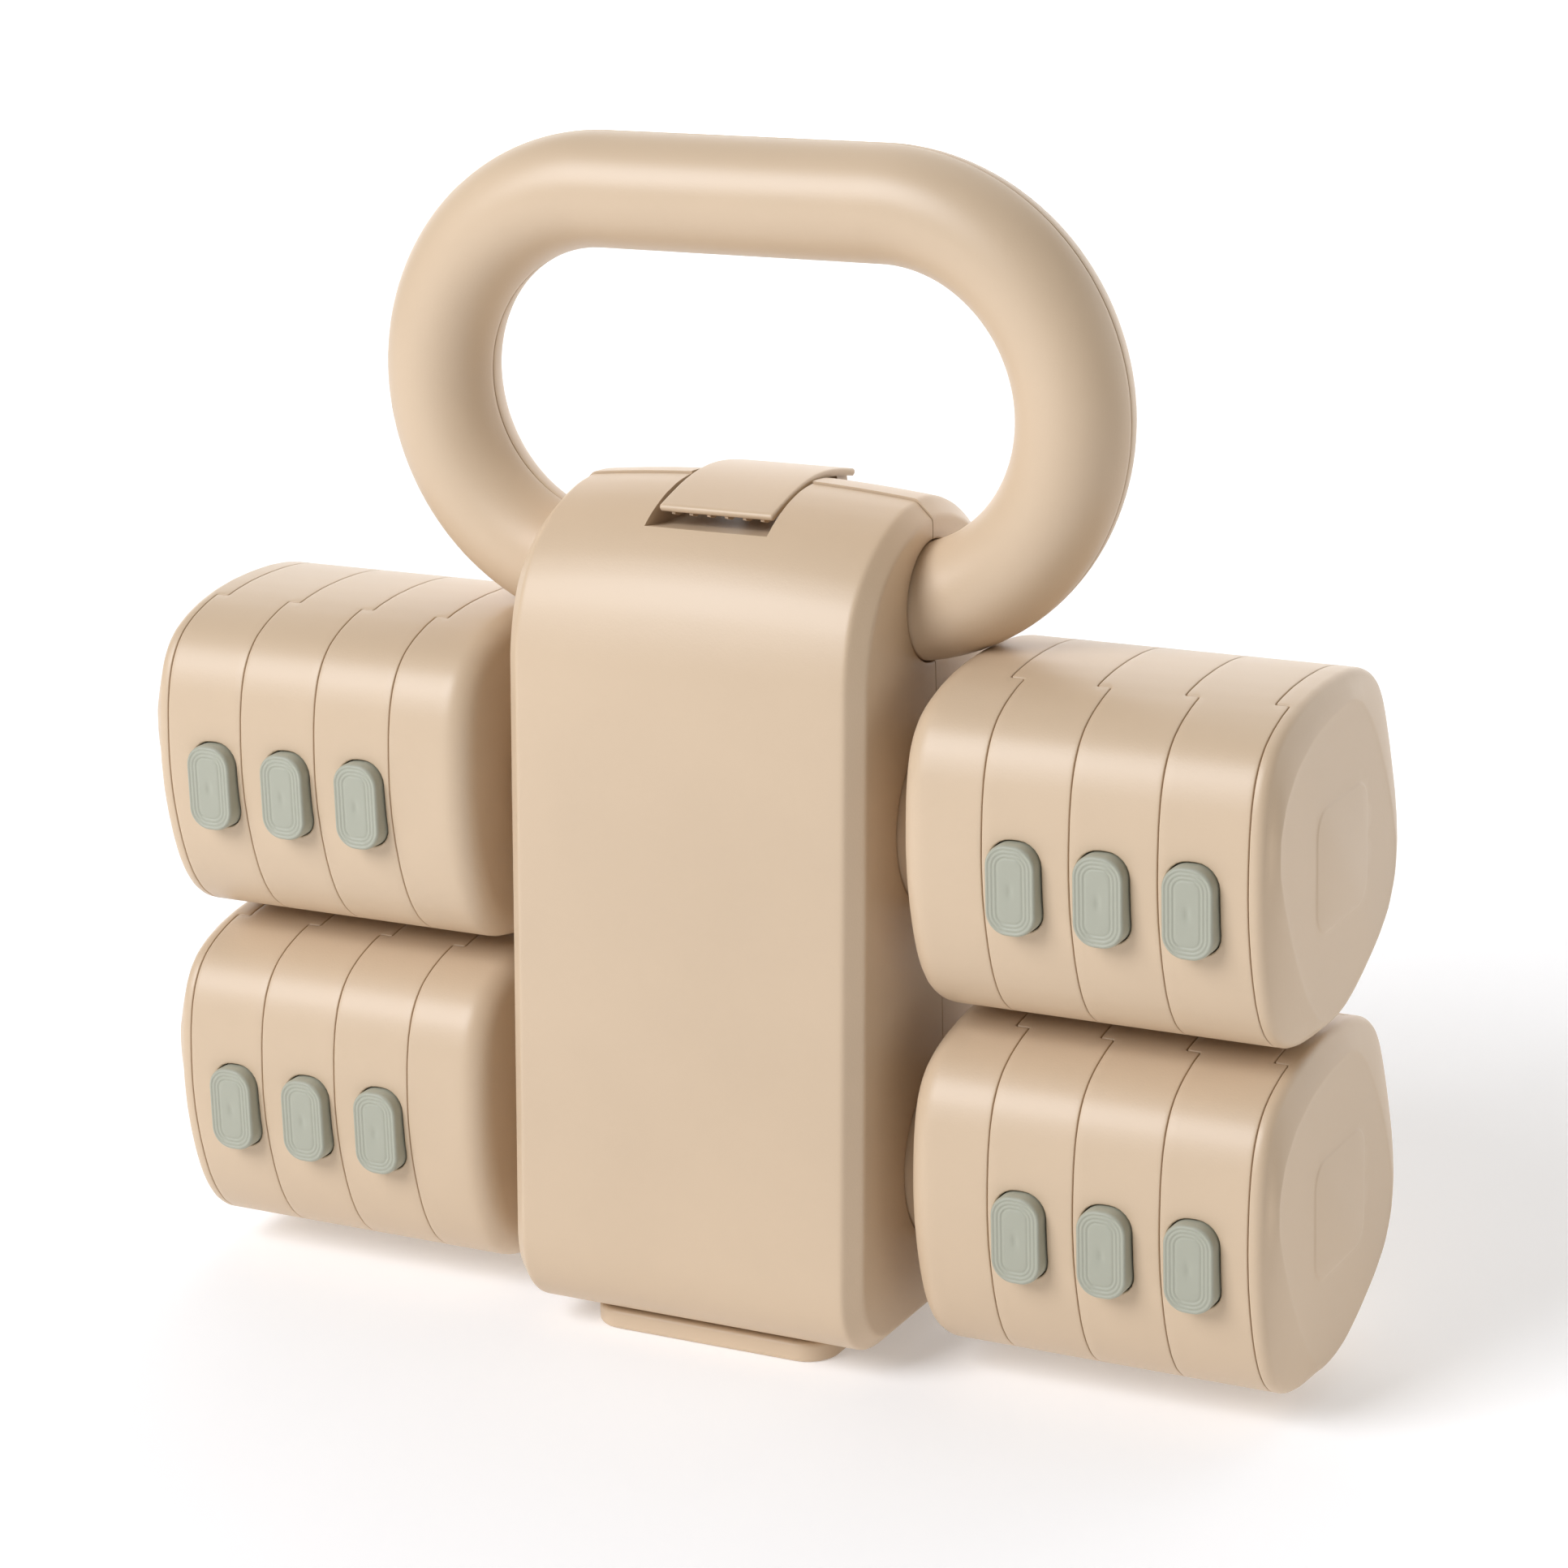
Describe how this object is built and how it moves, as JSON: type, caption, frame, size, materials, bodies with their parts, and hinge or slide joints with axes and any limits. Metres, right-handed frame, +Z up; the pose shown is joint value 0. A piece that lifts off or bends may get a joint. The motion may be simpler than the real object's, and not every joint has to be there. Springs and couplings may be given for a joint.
{
  "type": "adjustable kettlebell set",
  "caption": "Adjustable free-weight set docked as a kettlebell: ring handle on a clamshell housing that holds plate-loaded dumbbells crosswise, with push-button plates.",
  "frame": {"origin": "centre of the foot pad's underside, where the object stands", "axes": "+X along the dumbbells to the right, +Y from the button side to the back, +Z up to the handle"},
  "size_m": [0.3658, 0.1224, 0.3539],
  "materials": {
    "tan_plastic": "fine satin moulded plastic, warm beige",
    "sage_plastic": "satin sage grey moulded plastic",
    "grip": "soft matte sleeve",
    "iron": "cast, uncoated",
    "steel": "drawn bar, plain"
  },
  "bodies": {
    "base": {"rear_shell": "tan_plastic", "handle_front_half": "tan_plastic", "handle_rear_half": "tan_plastic", "foot_pad": "tan_plastic", "latch_pin": "steel", "upper_bar": "steel", "upper_grip": "grip", "upper_left_hub": "tan_plastic", "upper_left_hub_core": "iron", "upper_right_hub": "tan_plastic", "upper_right_hub_core": "iron", "lower_bar": "steel", "lower_grip": "grip", "lower_left_hub": "tan_plastic", "lower_left_hub_core": "iron", "lower_right_hub": "tan_plastic", "lower_right_hub_core": "iron"},
    "front_cover": {"front_shell": "tan_plastic"},
    "latch": {"latch": "tan_plastic"},
    "upper_left_plate_1_body": {"upper_left_plate_1": "tan_plastic", "upper_left_plate_1_core": "iron"},
    "upper_left_plate_1_button_body": {"upper_left_plate_1_button": "sage_plastic"},
    "upper_left_plate_2_body": {"upper_left_plate_2": "tan_plastic", "upper_left_plate_2_core": "iron"},
    "upper_left_plate_2_button_body": {"upper_left_plate_2_button": "sage_plastic"},
    "upper_left_plate_3_body": {"upper_left_plate_3": "tan_plastic", "upper_left_plate_3_core": "iron", "upper_left_end_cap": "tan_plastic"},
    "upper_left_plate_3_button_body": {"upper_left_plate_3_button": "sage_plastic"},
    "upper_right_plate_1_body": {"upper_right_plate_1": "tan_plastic", "upper_right_plate_1_core": "iron"},
    "upper_right_plate_1_button_body": {"upper_right_plate_1_button": "sage_plastic"},
    "upper_right_plate_2_body": {"upper_right_plate_2": "tan_plastic", "upper_right_plate_2_core": "iron"},
    "upper_right_plate_2_button_body": {"upper_right_plate_2_button": "sage_plastic"},
    "upper_right_plate_3_body": {"upper_right_plate_3": "tan_plastic", "upper_right_plate_3_core": "iron", "upper_right_end_cap": "tan_plastic"},
    "upper_right_plate_3_button_body": {"upper_right_plate_3_button": "sage_plastic"},
    "lower_left_plate_1_body": {"lower_left_plate_1": "tan_plastic", "lower_left_plate_1_core": "iron"},
    "lower_left_plate_1_button_body": {"lower_left_plate_1_button": "sage_plastic"},
    "lower_left_plate_2_body": {"lower_left_plate_2": "tan_plastic", "lower_left_plate_2_core": "iron"},
    "lower_left_plate_2_button_body": {"lower_left_plate_2_button": "sage_plastic"},
    "lower_left_plate_3_body": {"lower_left_plate_3": "tan_plastic", "lower_left_plate_3_core": "iron", "lower_left_end_cap": "tan_plastic"},
    "lower_left_plate_3_button_body": {"lower_left_plate_3_button": "sage_plastic"},
    "lower_right_plate_1_body": {"lower_right_plate_1": "tan_plastic", "lower_right_plate_1_core": "iron"},
    "lower_right_plate_1_button_body": {"lower_right_plate_1_button": "sage_plastic"},
    "lower_right_plate_2_body": {"lower_right_plate_2": "tan_plastic", "lower_right_plate_2_core": "iron"},
    "lower_right_plate_2_button_body": {"lower_right_plate_2_button": "sage_plastic"},
    "lower_right_plate_3_body": {"lower_right_plate_3": "tan_plastic", "lower_right_plate_3_core": "iron", "lower_right_end_cap": "tan_plastic"},
    "lower_right_plate_3_button_body": {"lower_right_plate_3_button": "sage_plastic"}
  },
  "joints": [
    {"name": "front_cover_pull", "type": "slide", "parent": "base", "child": "front_cover", "axis": [0, -1, 0], "range_m": [0, 0.09]},
    {"name": "latch_pivot", "type": "hinge", "parent": "base", "child": "latch", "pos_m": [0, 0.028, 0.24401], "axis": [-1, 0, 0], "range_deg": [0, 40], "stiffness_Nm_per_rad": 0.05},
    {"name": "upper_left_plate_1_pull", "type": "slide", "parent": "base", "child": "upper_left_plate_1_body", "axis": [-1, 0, 0], "range_m": [0, 0.04]},
    {"name": "upper_left_plate_1_button_press", "type": "slide", "parent": "upper_left_plate_1_body", "child": "upper_left_plate_1_button_body", "axis": [0, 1, 0], "range_m": [0, 0.003], "stiffness_N_per_m": 400},
    {"name": "upper_left_plate_2_pull", "type": "slide", "parent": "upper_left_plate_1_body", "child": "upper_left_plate_2_body", "axis": [-1, 0, 0], "range_m": [0, 0.04]},
    {"name": "upper_left_plate_2_button_press", "type": "slide", "parent": "upper_left_plate_2_body", "child": "upper_left_plate_2_button_body", "axis": [0, 1, 0], "range_m": [0, 0.003], "stiffness_N_per_m": 400},
    {"name": "upper_left_plate_3_pull", "type": "slide", "parent": "upper_left_plate_2_body", "child": "upper_left_plate_3_body", "axis": [-1, 0, 0], "range_m": [0, 0.04]},
    {"name": "upper_left_plate_3_button_press", "type": "slide", "parent": "upper_left_plate_3_body", "child": "upper_left_plate_3_button_body", "axis": [0, 1, 0], "range_m": [0, 0.003], "stiffness_N_per_m": 400},
    {"name": "upper_right_plate_1_pull", "type": "slide", "parent": "base", "child": "upper_right_plate_1_body", "axis": [1, 0, 0], "range_m": [0, 0.04]},
    {"name": "upper_right_plate_1_button_press", "type": "slide", "parent": "upper_right_plate_1_body", "child": "upper_right_plate_1_button_body", "axis": [0, 1, 0], "range_m": [0, 0.003], "stiffness_N_per_m": 400},
    {"name": "upper_right_plate_2_pull", "type": "slide", "parent": "upper_right_plate_1_body", "child": "upper_right_plate_2_body", "axis": [1, 0, 0], "range_m": [0, 0.04]},
    {"name": "upper_right_plate_2_button_press", "type": "slide", "parent": "upper_right_plate_2_body", "child": "upper_right_plate_2_button_body", "axis": [0, 1, 0], "range_m": [0, 0.003], "stiffness_N_per_m": 400},
    {"name": "upper_right_plate_3_pull", "type": "slide", "parent": "upper_right_plate_2_body", "child": "upper_right_plate_3_body", "axis": [1, 0, 0], "range_m": [0, 0.04]},
    {"name": "upper_right_plate_3_button_press", "type": "slide", "parent": "upper_right_plate_3_body", "child": "upper_right_plate_3_button_body", "axis": [0, 1, 0], "range_m": [0, 0.003], "stiffness_N_per_m": 400},
    {"name": "lower_left_plate_1_pull", "type": "slide", "parent": "base", "child": "lower_left_plate_1_body", "axis": [-1, 0, 0], "range_m": [0, 0.04]},
    {"name": "lower_left_plate_1_button_press", "type": "slide", "parent": "lower_left_plate_1_body", "child": "lower_left_plate_1_button_body", "axis": [0, 1, 0], "range_m": [0, 0.003], "stiffness_N_per_m": 400},
    {"name": "lower_left_plate_2_pull", "type": "slide", "parent": "lower_left_plate_1_body", "child": "lower_left_plate_2_body", "axis": [-1, 0, 0], "range_m": [0, 0.04]},
    {"name": "lower_left_plate_2_button_press", "type": "slide", "parent": "lower_left_plate_2_body", "child": "lower_left_plate_2_button_body", "axis": [0, 1, 0], "range_m": [0, 0.003], "stiffness_N_per_m": 400},
    {"name": "lower_left_plate_3_pull", "type": "slide", "parent": "lower_left_plate_2_body", "child": "lower_left_plate_3_body", "axis": [-1, 0, 0], "range_m": [0, 0.04]},
    {"name": "lower_left_plate_3_button_press", "type": "slide", "parent": "lower_left_plate_3_body", "child": "lower_left_plate_3_button_body", "axis": [0, 1, 0], "range_m": [0, 0.003], "stiffness_N_per_m": 400},
    {"name": "lower_right_plate_1_pull", "type": "slide", "parent": "base", "child": "lower_right_plate_1_body", "axis": [1, 0, 0], "range_m": [0, 0.04]},
    {"name": "lower_right_plate_1_button_press", "type": "slide", "parent": "lower_right_plate_1_body", "child": "lower_right_plate_1_button_body", "axis": [0, 1, 0], "range_m": [0, 0.003], "stiffness_N_per_m": 400},
    {"name": "lower_right_plate_2_pull", "type": "slide", "parent": "lower_right_plate_1_body", "child": "lower_right_plate_2_body", "axis": [1, 0, 0], "range_m": [0, 0.04]},
    {"name": "lower_right_plate_2_button_press", "type": "slide", "parent": "lower_right_plate_2_body", "child": "lower_right_plate_2_button_body", "axis": [0, 1, 0], "range_m": [0, 0.003], "stiffness_N_per_m": 400},
    {"name": "lower_right_plate_3_pull", "type": "slide", "parent": "lower_right_plate_2_body", "child": "lower_right_plate_3_body", "axis": [1, 0, 0], "range_m": [0, 0.04]},
    {"name": "lower_right_plate_3_button_press", "type": "slide", "parent": "lower_right_plate_3_body", "child": "lower_right_plate_3_button_body", "axis": [0, 1, 0], "range_m": [0, 0.003], "stiffness_N_per_m": 400}
  ]
}
